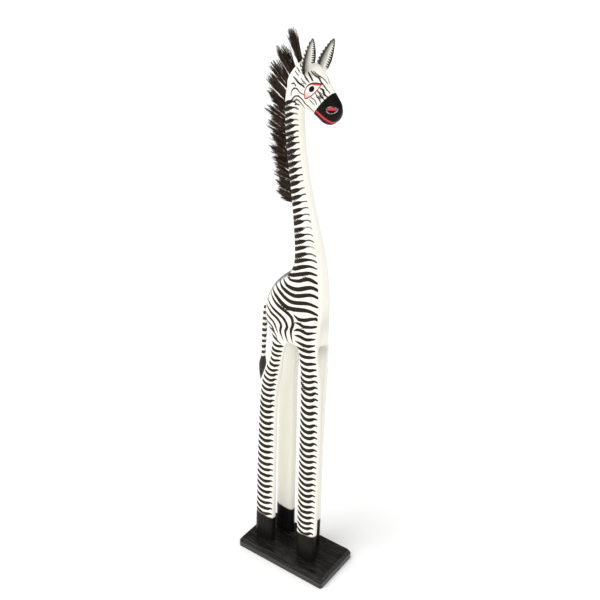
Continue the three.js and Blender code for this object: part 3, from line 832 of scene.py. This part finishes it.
def paint_face(tree, colour, paint):
    """Adds muzzle, lips, nostrils and eyes over a colour; returns it with the gloss mask."""
    where = attribute(tree, "on_head", "Vector")
    parts = add(tree, "ShaderNodeSeparateXYZ", {0: where}).outputs
    flat = add(tree, "ShaderNodeCombineXYZ", {"X": parts["X"], "Y": parts["Y"]}).outputs[0]
    black, red = tuple(paint.hoof), tuple(paint.red)
    cream, pink = tuple(paint.cream), (0.85, 0.42, 0.38)

    wobble = calc(tree, "MULTIPLY", noise(tree, flat, scale=0.25), 1.6)
    muzzle = ramp(tree, calc(tree, "ADD", parts["X"], wobble), MUZZLE_EDGE + 0.4, MUZZLE_EDGE + 1.2)
    colour = blend(tree, muzzle, colour, black)

    (a0, c0), (a1, c1), half = MOUTH
    slope = (c1 - c0) / (a1 - a0)
    lip = calc(tree, "SUBTRACT", parts["Y"], calc(tree, "MULTIPLY", parts["X"], slope))
    lip = calc(tree, "ABSOLUTE", calc(tree, "SUBTRACT", lip, c0 - slope * a0))
    lip = calc(tree, "ADD", lip, noise(tree, flat, scale=0.3))
    lips = fade(tree, lip, half, half + 0.9)
    lips = calc(tree, "MULTIPLY", lips, ramp(tree, parts["X"], MUZZLE_EDGE - 2.0, MUZZLE_EDGE + 1.0))
    colour = blend(tree, lips, colour, red)

    size, upright = oval_size(tree, flat, *NOSTRIL)
    rim = calc(tree, "SUBTRACT", ramp(tree, size, 0.8, 0.88), ramp(tree, size, 1.0, 1.1))
    rim = calc(tree, "MULTIPLY", rim, ramp(tree, noise(tree, flat, scale=0.35), 0.35, 0.6))
    colour = blend(tree, calc(tree, "MULTIPLY", rim, 0.75), colour, (0.5, 0.48, 0.42))
    flesh = calc(tree, "MULTIPLY", fade(tree, size, 0.72, 0.84),
                 ramp(tree, upright, -0.2, 0.02))
    colour = blend(tree, flesh, colour, red)

    rear = circle_distance(tree, flat, *EYE_REAR_ARC)
    front = circle_distance(tree, flat, *EYE_FRONT_ARC)
    eye = calc(tree, "MAXIMUM", rear, front)
    on_rear = ramp(tree, calc(tree, "SUBTRACT", rear, front), -1.0, 1.5)
    lash = calc(tree, "MULTIPLY", on_rear, ramp(tree, parts["Y"], 2.0, 14.0))
    outside = calc(tree, "SUBTRACT", eye, lash)
    colour = blend(tree, fade(tree, outside, 0.5, 1.0), colour, black)
    edge_red = blend(tree, ramp(tree, parts["Y"], 4.0, 17.0), (0.3, 0.02, 0.025), red)
    red_edge = fade(tree, eye, 0.0, 0.5)
    colour = blend(tree, red_edge, colour, edge_red)
    lid = calc(tree, "MULTIPLY", on_rear, ramp(tree, parts["Y"], 13.0, 18.0))
    inner = calc(tree, "ADD", eye, calc(tree, "MULTIPLY", lid, 1.5))
    ball = fade(tree, inner, -1.2, -0.5)
    flush = blend(tree, ramp(tree, parts["Y"], 8.0, -6.0), cream, pink)
    colour = blend(tree, ball, colour, flush)
    pupil, _ = oval_size(tree, flat, *PUPIL)
    colour = blend(tree, fade(tree, pupil, 0.92, 1.04), colour, black)
    return colour, muzzle


def carving_material(paint):
    """Cream ground coat with painted shade and a grey rump ridge, brushed stripes, black hooves and a
    painted face.
    """
    made, tree, shader = start_material("hand_painted_wood")
    cream, stripe, hoof = (tuple(c) for c in (paint.cream, paint.stripe, paint.hoof))
    grain = wood_grain(tree, (0.5, 0.5, 0.03))
    ground = blend(tree, ramp(tree, grain["Tone"], 0.3, 0.75), tuple(c * 0.95 for c in cream), cream)
    # Painted shade, and the grey on the rump's ridge, darken the ground coat as the shade attribute says.
    colour = blend(tree, attribute(tree, "shade"), ground, tuple(paint.shade))

    brush = use_group(tree, shared_group("brushed_paint", make_brush_group), {
        "Stroke": attribute(tree, "stroke", "Vector"), "Reach": attribute(tree, "reach"),
        "Dry": attribute(tree, "dry"), "Ragged": 0.8})
    ink = blend(tree, ramp(tree, brush["Streak"], 0.35, 0.8), stripe, tuple(c * 3.5 for c in stripe))
    colour = blend(tree, brush["Mask"], colour, ink)

    colour, muzzle = paint_face(tree, colour, paint)

    ragged = calc(tree, "MULTIPLY", noise(tree, object_place(tree, (0.25, 0.25, 0.08))), 3.0)
    above = calc(tree, "SUBTRACT", attribute(tree, "above_hoof"), calc(tree, "SUBTRACT", ragged, 1.5))
    stained = fade(tree, above, 0.2, 3.4)
    colour = blend(tree, calc(tree, "MULTIPLY", stained, 0.85), colour, (0.33, 0.2, 0.16))
    hooves = fade(tree, above, -0.6, 0.4)
    colour = blend(tree, hooves, colour, hoof)

    black = calc(tree, "MAXIMUM", hooves, muzzle)
    rough = add(tree, "ShaderNodeMapRange", {"Value": black, "To Min": 0.46, "To Max": 0.24}).outputs[0]
    rough = calc(tree, "ADD", rough, calc(tree, "MULTIPLY", grain["Height"], 0.08))
    plug(tree, shader, base_color=colour, roughness=rough, specular_ior_level=0.08)
    height = calc(tree, "ADD", grain["Height"], calc(tree, "MULTIPLY", brush["Mask"], 0.5))
    bump(tree, shader, height, 0.35, 0.25 * MM)
    return made


class ZEBRA_OT_carving(bpy.types.Operator):
    """Body, neck and head in one skin of paint, over the two carved blocks"""

    bl_idname = "zebra.carving"
    bl_label = "Painted carving"

    def execute(self, context):
        paint = context.scene.zebra_paint
        mesh = merged_copy("body_carving", "head_carving")
        overlap = 1.5 * MM
        for vert in mesh.verts:
            if abs(vert.co.z - NECK_JOINT_Z * MM) < 0.01 * MM:
                vert.co.z += overlap
        made = place("painted_carving", mesh, carving_material(paint))
        even_skin(made, paint.voxel)
        keep_largest_shell(made.data)
        fill_rump(made.data)
        blend_fork(made.data)
        carve_face(made.data)
        paint_attributes(made.data, paint.hoof_height / MM)
        shade_smooth(made.data)
        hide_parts("body_carving", "head_carving")
        return {"FINISHED"}


# ---------------------------------------------------------------- ears


def ear_axes(shape):
    """Root, direction, face and edge directions of an ear, and its length, in mm."""
    side = shape["side"]
    base = Vector((shape["base_x"], CARVING_Y + side * EAR_BASE_OUT, EAR_BASE_Z))
    tip = Vector((shape["tip_x"], CARVING_Y + side * EAR_TIP_OUT, shape["tip_z"]))
    along = (tip - base).normalized()
    turn = math.radians(shape["turn"])
    face = Vector((math.cos(turn), side * math.sin(turn), 0))
    face = (face - along * face.dot(along)).normalized()
    edge = face.cross(along)
    length = (tip - base).length + EAR_ROOT_DEPTH
    return base - along * EAR_ROOT_DEPTH, along, face, edge, length


def ear_mesh(shape):
    """A hollow leaf, warped from a ball: one half is the hollow, the other the outside."""
    root, along, face, edge, length = ear_axes(shape)
    shares, widths = np.array(EAR_WIDTHS).T
    mesh = bmesh.new()
    bmesh.ops.create_uvsphere(mesh, u_segments=32, v_segments=26, radius=1)
    place_layer = mesh.verts.layers.float_vector.new("ear_place")
    for vert in mesh.verts:
        share = (vert.co.z + 1) / 2
        round_off = math.sqrt(max(1 - vert.co.z**2, 1e-9))
        across, front = vert.co.x / round_off, vert.co.y / round_off
        width = float(np.interp(share, shares, widths)) * min(1, round_off * 2.5)
        bowl = math.sqrt(max(1 - across**2, 0))
        hollow = EAR_CUP - EAR_RIM if front > 0 else EAR_WALL + EAR_CUP + EAR_RIM
        vert[place_layer] = (share, across, 1 if front > 0.02 else -1)
        vert.co = (root + along * share * length + edge * across * EAR_HALF_WIDTH * width
                   - face * hollow * bowl * width) * MM
    bmesh.ops.smooth_vert(mesh, verts=mesh.verts, factor=0.3, use_axis_x=True, use_axis_y=True,
                          use_axis_z=True)
    bmesh.ops.recalc_face_normals(mesh, faces=mesh.faces)
    return mesh


def ear_material(paint):
    """Cream leaf with a black rim, feathered ticks and brown shade inside, and ticks outside."""
    made, tree, shader = start_material("painted_ear")
    cream, stripe = tuple(paint.cream), tuple(paint.stripe)
    where = attribute(tree, "ear_place", "Vector")
    parts = add(tree, "ShaderNodeSeparateXYZ", {0: where}).outputs
    share, front = parts["X"], parts["Z"]
    across = calc(tree, "MULTIPLY", parts["Y"], -1.0)
    grain = wood_grain(tree, (0.5, 0.5, 0.1))
    mottled = calc(tree, "MULTIPLY", calc(tree, "SUBTRACT", grain["Tone"], 0.5), 0.5)
    reach = calc(tree, "ADD", across, mottled)

    shaded = fade(tree, reach, -0.3, 0.6)
    inner = blend(tree, calc(tree, "MULTIPLY", shaded, 0.85), cream, (0.15, 0.125, 0.09))
    inner = blend(tree, ramp(tree, share, 0.72, 1.0), inner, (0.09, 0.075, 0.06))
    rim = fade(tree, reach, -0.5, -0.2)
    inner = blend(tree, rim, inner, stripe)
    tick_wave = add(tree, "ShaderNodeMath", {0: calc(tree, "ADD", calc(tree, "MULTIPLY", share, 95.0),
                                                     calc(tree, "MULTIPLY", across, 6.0))},
                    operation="SINE").outputs[0]
    tick_edge = calc(tree, "ADD", 0.62, calc(tree, "MULTIPLY", tick_wave, 0.2))
    ticks = ramp(tree, calc(tree, "SUBTRACT", reach, tick_edge), 0.0, 0.1)
    ticks = calc(tree, "MULTIPLY", ticks, ramp(tree, share, 0.12, 0.2))
    inner = blend(tree, ticks, inner, stripe)

    lean = calc(tree, "MULTIPLY", across, -0.6)
    tick_phase = calc(tree, "ADD", calc(tree, "MULTIPLY", share, OUTER_TICKS), lean)
    saw = calc(tree, "FRACT", tick_phase)
    outer_tick = calc(tree, "LESS_THAN", calc(tree, "ABSOLUTE", calc(tree, "SUBTRACT", saw, 0.5)), 0.25)
    outer = blend(tree, calc(tree, "MULTIPLY", outer_tick, 0.95), cream, stripe)
    colour = blend(tree, ramp(tree, front, -0.2, 0.2), outer, inner)
    plug(tree, shader, base_color=colour, roughness=0.5, specular_ior_level=0.25)
    bump(tree, shader, grain["Height"], 0.3, 0.2 * MM)
    return made


class ZEBRA_OT_ears(bpy.types.Operator):
    """Two hollow painted leaves on the crown"""

    bl_idname = "zebra.ears"
    bl_label = "Ears"

    def execute(self, context):
        material = ear_material(context.scene.zebra_paint)
        for node, shape in EARS.items():
            made = place(node.replace("ear", "leaf_ear"), ear_mesh(shape), material)
            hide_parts(node)
        return {"FINISHED"}


# ---------------------------------------------------------------- tail


TAIL_TOP_BAND = 497.5
TAIL_BAND_GAP = 11.6
TAIL_BRUSH_TOP = 419.0
TAIL_VOXEL = 0.9 * MM


def tail_material(paint):
    """Cream stick with black bands and a black brush at the end."""
    made, tree, shader = start_material("painted_tail")
    cream, stripe = tuple(paint.cream), tuple(paint.stripe)
    height = add(tree, "ShaderNodeSeparateXYZ", {0: object_place(tree, (1, 1, 1))}).outputs["Z"]
    wobble = calc(tree, "MULTIPLY", noise(tree, object_place(tree, (0.2, 0.2, 0.2))), 4.0)
    height = calc(tree, "ADD", height, calc(tree, "SUBTRACT", wobble, 2.0))
    below_top = calc(tree, "SUBTRACT", TAIL_TOP_BAND + TAIL_BAND_GAP / 2, height)
    row = calc(tree, "DIVIDE", below_top, TAIL_BAND_GAP)
    away = calc(tree, "ABSOLUTE", calc(tree, "SUBTRACT", calc(tree, "FRACT", row), 0.5))
    band = fade(tree, away, 0.24, 0.3)
    brush_end = fade(tree, height, TAIL_BRUSH_TOP - 1, TAIL_BRUSH_TOP + 1)
    colour = blend(tree, calc(tree, "MAXIMUM", band, brush_end), cream, stripe)
    grain = wood_grain(tree, (0.9, 0.9, 0.05))
    plug(tree, shader, base_color=colour, roughness=0.45)
    bump(tree, shader, grain["Height"], 0.5, 0.4 * MM)
    return made


class ZEBRA_OT_tail(bpy.types.Operator):
    """The round tail that hangs behind the rump"""

    bl_idname = "zebra.tail"
    bl_label = "Tail"

    def execute(self, context):
        made = place("hanging_tail", merged_copy("tail_carving"), tail_material(context.scene.zebra_paint))
        even_skin(made, TAIL_VOXEL)
        shade_smooth(made.data)
        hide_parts("tail_carving")
        return {"FINISHED"}


# ---------------------------------------------------------------- mane


def bunch_plan(number):
    """Root, direction, fan direction and length of a bunch, in mm."""
    fall = number / (MANE_COUNT - 1)
    z = MANE_Z[0] + (MANE_Z[1] - MANE_Z[0]) * fall
    tilt = math.radians(MANE_TILT[1] + (MANE_TILT[0] - MANE_TILT[1]) * (1 - fall) ** MANE_TILT_FADE)
    back, _ = edges_at(TRUNK_EDGES, z)
    root = Vector((float(back), CARVING_Y, z))
    along = Vector((-math.cos(tilt), 0, math.sin(tilt)))
    fan = Vector((math.sin(tilt), 0, math.cos(tilt)))
    length = MANE_LENGTH[1] + (MANE_LENGTH[0] - MANE_LENGTH[1]) * (1 - fall) ** MANE_LENGTH_FADE
    return root, along, fan, length


def bristle_pattern():
    """One fibre of unit length: a thin three-sided cone with a few rings to bend at."""
    mesh = bmesh.new()
    bmesh.ops.create_cone(mesh, cap_ends=True, segments=3, radius1=1.0, radius2=0.35, depth=1.0)
    bmesh.ops.translate(mesh, verts=mesh.verts, vec=(0, 0, 0.5))
    long_edges = [e for e in mesh.edges if abs(e.verts[0].co.z - e.verts[1].co.z) > 0.5]
    bmesh.ops.subdivide_edges(mesh, edges=long_edges, cuts=3, use_grid_fill=False)
    data = bpy.data.meshes.new("bristle_pattern")
    mesh.to_mesh(data)
    mesh.free()
    return data


def bunch_mesh(number, pattern, mane):
    """A bunch of fibres, held together in strands that fan out towards frayed tips."""
    rng = random.Random(SEED * 100 + number)
    root, along, fan, length = bunch_plan(number)
    out = Vector((0, 1, 0))
    mesh = bmesh.new()
    tone_layer = mesh.verts.layers.float.new("tone")
    shape = [v.co.copy() for v in pattern.vertices]
    root_half, tip_half = (3.2, 6.5) if number == 0 else (5.4, rng.uniform(8.2, 10.2))
    strands = []
    for place_in_fan in range(STRANDS):
        spread = 2 * (place_in_fan + rng.random()) / STRANDS - 1
        strands.append({
            "fan": spread, "out": rng.gauss(0, 0.5), "bend": rng.gauss(0, 1.4), "tone": rng.random(),
            "length": rng.uniform(0.74, 1.04) * (1 - 0.12 * spread * spread) * (
                1 + 0.4 * min(spread, 0) if number == MANE_COUNT - 1 else 1)})
    for _ in range(mane.bristles):
        strand = rng.choice(strands)
        stray = rng.random() < STRAY_SHARE
        loose = 3.2 if stray else 1.0
        reach = strand["length"] * rng.triangular(0.7, 1.04, 1.0) * (1.06 if stray else 1)
        reach = length * min(reach, 1.1)
        bend = strand["bend"] + rng.gauss(0, 0.7 * loose)
        tone = 0.65 * strand["tone"] + 0.35 * rng.random()
        start_fan = strand["fan"] * root_half + rng.gauss(0, 0.45)
        start_out = strand["out"] * 3.4 + rng.gauss(0, 0.45)
        end_fan = strand["fan"] * tip_half + rng.gauss(0, 0.75 * loose)
        end_out = strand["out"] * 7.5 + rng.gauss(0, 0.75 * loose)
        radius = mane.radius / MM * rng.uniform(0.75, 1.3)
        first = len(mesh.verts)
        mesh.from_mesh(pattern)
        mesh.verts.ensure_lookup_table()
        for offset, corner in enumerate(shape):
            t = corner.z
            at_fan = start_fan + (end_fan - start_fan) * t + bend * t * t + corner.x * radius
            at_out = start_out + (end_out - start_out) * t + corner.y * radius
            vert = mesh.verts[first + offset]
            vert.co = (root + along * (reach * t - 2) + fan * at_fan + out * at_out) * MM
            vert[tone_layer] = tone
    bmesh.ops.recalc_face_normals(mesh, faces=mesh.faces)
    return mesh


def fibre_material(mane):
    """Dry palm fibre: dark brown, each fibre a little different, with paler flecks."""
    made, tree, shader = start_material("palm_fibre")
    tone = attribute(tree, "tone")
    flecks = noise(tree, object_place(tree, (0.4, 0.4, 0.4)))
    light = calc(tree, "MULTIPLY", ramp(tree, tone, 0.45, 1.0), ramp(tree, flecks, 0.3, 0.7))
    colour = blend(tree, light, tuple(mane.dark), tuple(mane.light))
    rough = calc(tree, "ADD", 0.5, calc(tree, "MULTIPLY", flecks, 0.3))
    plug(tree, shader, base_color=colour, roughness=rough, specular_ior_level=0.2)
    return made


class ZEBRA_OT_mane(bpy.types.Operator):
    """Thirteen bunches of stiff fibre along the nape"""

    bl_idname = "zebra.mane"
    bl_label = "Mane"

    def execute(self, context):
        mane = context.scene.zebra_mane
        material = fibre_material(mane)
        pattern = bristle_pattern()
        for number in range(MANE_COUNT):
            label = f"{number + 1:02d}"
            made = place(f"fibre_bunch_{label}", bunch_mesh(number, pattern, mane), material)
            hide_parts(f"mane_tuft_{label}")
        bpy.data.meshes.remove(pattern)
        return {"FINISHED"}


# ---------------------------------------------------------------- plank and hidden fixings


def plank_material(plank):
    """Black stain under satin lacquer, with long open grain."""
    made, tree, shader = start_material("black_lacquered_wood")
    stain = tuple(plank.stain)
    grain = wood_grain(tree, (0.02, 0.7, 0.7))
    lines = ramp(tree, grain["Height"], 0.5, 0.72)
    colour = blend(tree, lines, stain, tuple(c * 9 for c in stain))
    rough = add(tree, "ShaderNodeMapRange",
                {"Value": grain["Tone"], "From Min": 0.35, "From Max": 0.65, "To Min": 0.14,
                 "To Max": 0.34}).outputs[0]
    plug(tree, shader, base_color=colour, roughness=rough, specular_ior_level=0.5)
    bump(tree, shader, grain["Height"], 0.8, 0.3 * MM)
    return made


class ZEBRA_OT_plank(bpy.types.Operator):
    """The black plank with its worn bevels"""

    bl_idname = "zebra.plank"
    bl_label = "Plank"

    def execute(self, context):
        plank = context.scene.zebra_plank
        mesh = merged_copy("base_plank")
        bmesh.ops.dissolve_limit(mesh, angle_limit=math.radians(1), verts=mesh.verts, edges=mesh.edges)
        sharp = [e for e in mesh.edges if len(e.link_faces) == 2 and e.calc_face_angle() > math.radians(25)
                 and max(v.co.z for v in e.verts) > 10 * MM and min(v.co.z for v in e.verts) > 10 * MM]
        bmesh.ops.bevel(mesh, geom=sharp, offset=plank.bevel, offset_type="OFFSET", segments=3,
                        profile=0.5, affect="EDGES", material=-1, clamp_overlap=True)
        made = place("lacquered_plank", mesh, plank_material(plank), smooth=False)
        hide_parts("base_plank")
        return {"FINISHED"}


def steel_material():
    made, tree, shader = start_material("zinc_plated_steel")
    haze = noise(tree, object_place(tree, (0.6, 0.6, 0.6)))
    rough = calc(tree, "ADD", 0.25, calc(tree, "MULTIPLY", haze, 0.25))
    colour = blend(tree, haze, (0.5, 0.5, 0.49), (0.66, 0.65, 0.62))
    plug(tree, shader, base_color=colour, roughness=rough, metallic=1.0)
    return made


def dowel_material():
    made, tree, shader = start_material("bare_dowel_wood")
    grain = wood_grain(tree, (0.8, 0.8, 0.04))
    colour = blend(tree, grain["Tone"], (0.42, 0.28, 0.15), (0.66, 0.5, 0.32))
    plug(tree, shader, base_color=colour, roughness=0.7)
    bump(tree, shader, grain["Height"], 0.4, 0.2 * MM)
    return made


class ZEBRA_OT_fixings(bpy.types.Operator):
    """Finishes of the neck dowel and the four screws"""

    bl_idname = "zebra.fixings"
    bl_label = "Dowel and screws"

    def execute(self, context):
        steel, beech = steel_material(), dowel_material()
        for name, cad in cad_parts.items():
            if name.startswith("wood_screw") or name == "neck_dowel":
                cad.data.materials.clear()
                cad.data.materials.append(beech if name == "neck_dowel" else steel)
        return {"FINISHED"}


# ---------------------------------------------------------------- stage


WORLD_LIGHT = 0.82
WORLD_IN_GLOSS = 0.15  # a dimmer surround for reflections, so that black stays black


def floor_material():
    made, tree, shader = start_material("pale_floor")
    speckle = noise(tree, object_place(tree, (0.01, 0.01, 0.01)))
    colour = blend(tree, speckle, (0.945, 0.945, 0.945), (0.96, 0.96, 0.96))
    plug(tree, shader, base_color=colour, roughness=0.9, specular_ior_level=0.1)
    return made


def add_sun(name, towards, strength, spread):
    """A soft light from far off, given by the direction it comes from."""
    data = bpy.data.lights.new(name, "SUN")
    data.angle = spread
    data.energy = strength
    made = bpy.data.objects.new(name, data)
    bpy.context.scene.collection.objects.link(made)
    made.rotation_euler = Vector(towards).to_track_quat("Z", "Y").to_euler()


def add_camera(stage):
    """Camera on a turntable round the middle of the statue."""
    az, el = stage.azimuth, stage.elevation
    back = Vector((math.sin(az) * math.cos(el), -math.cos(az) * math.cos(el), math.sin(el)))
    level = Vector((math.cos(az), math.sin(az), 0))
    upright = back.cross(level)
    right = level * math.cos(stage.roll) + upright * math.sin(stage.roll)
    up = upright * math.cos(stage.roll) - level * math.sin(stage.roll)
    aim = Vector((0, -0.0028, 0.5585))
    data = bpy.data.cameras.new("studio_camera")
    data.sensor_width = 36
    data.lens = stage.lens
    made = bpy.data.objects.new("studio_camera", data)
    bpy.context.scene.collection.objects.link(made)
    turned = Matrix((right, up, back)).transposed().to_4x4()
    made.matrix_world = Matrix.Translation(aim + back * stage.distance) @ turned
    bpy.context.scene.camera = made


def white_world():
    world = bpy.data.worlds.new("white_studio")
    bpy.context.scene.world = world
    world.use_nodes = True
    tree = world.node_tree
    tree.nodes.clear()
    path = add(tree, "ShaderNodeLightPath").outputs
    seen = path["Is Camera Ray"]
    mirrored = path["Is Glossy Ray"]
    dimmed = calc(tree, "MULTIPLY", mirrored, WORLD_LIGHT - WORLD_IN_GLOSS)
    strength = calc(tree, "SUBTRACT", WORLD_LIGHT, dimmed)
    strength = calc(tree, "ADD", strength, calc(tree, "MULTIPLY", seen, 1 - WORLD_LIGHT))
    light = add(tree, "ShaderNodeBackground", {"Color": (1, 1, 1, 1), "Strength": strength})
    add(tree, "ShaderNodeOutputWorld", {"Surface": light.outputs[0]})


class ZEBRA_OT_stage(bpy.types.Operator):
    """Pale floor, soft lights and the camera"""

    bl_idname = "zebra.stage"
    bl_label = "Stage"

    def execute(self, context):
        mesh = bmesh.new()
        bmesh.ops.create_grid(mesh, x_segments=1, y_segments=1, size=20)
        data = bpy.data.meshes.new("studio_floor")
        mesh.to_mesh(data)
        mesh.free()
        data.materials.append(floor_material())
        floor = bpy.data.objects.new("studio_floor", data)
        context.scene.collection.objects.link(floor)
        white_world()
        add_sun("key_light", (-0.5, -1.0, 1.3), 1.3, math.radians(50))
        add_sun("front_light", (1.0, -0.7, 0.7), 0.5, math.radians(60))
        add_camera(context.scene.zebra_stage)
        context.scene.view_settings.view_transform = "Standard"
        return {"FINISHED"}


# ---------------------------------------------------------------- panel and registration

OPERATORS = (
    ZEBRA_OT_carving,
    ZEBRA_OT_ears,
    ZEBRA_OT_tail,
    ZEBRA_OT_mane,
    ZEBRA_OT_plank,
    ZEBRA_OT_fixings,
    ZEBRA_OT_stage,
)
SETTINGS = {
    "zebra_paint": PaintSettings,
    "zebra_mane": ManeSettings,
    "zebra_plank": PlankSettings,
    "zebra_stage": StageSettings,
}


class ZEBRA_PT_panel(bpy.types.Panel):
    """Lists the statue's pieces and their settings"""

    bl_idname = "ZEBRA_PT_panel"
    bl_label = "Carved zebra"
    bl_space_type = "VIEW_3D"
    bl_region_type = "UI"
    bl_category = "Zebra"

    def draw(self, context):
        for operator in OPERATORS:
            self.layout.operator(operator.bl_idname)
        for name, settings in SETTINGS.items():
            box = self.layout.box()
            for field in settings.__annotations__:
                box.prop(getattr(context.scene, name), field)


def register():
    for settings in SETTINGS.values():
        bpy.utils.register_class(settings)
    for name, settings in SETTINGS.items():
        setattr(bpy.types.Scene, name, bpy.props.PointerProperty(type=settings))
    for operator in OPERATORS:
        bpy.utils.register_class(operator)
    bpy.utils.register_class(ZEBRA_PT_panel)


def unregister():
    bpy.utils.unregister_class(ZEBRA_PT_panel)
    for operator in reversed(OPERATORS):
        bpy.utils.unregister_class(operator)
    for name, settings in SETTINGS.items():
        delattr(bpy.types.Scene, name)
        bpy.utils.unregister_class(settings)


def main():
    register()
    bpy.ops.zebra.carving()
    bpy.ops.zebra.ears()
    bpy.ops.zebra.tail()
    bpy.ops.zebra.mane()
    bpy.ops.zebra.plank()
    bpy.ops.zebra.fixings()
    bpy.ops.zebra.stage()


if __name__ == "__main__":
    main()
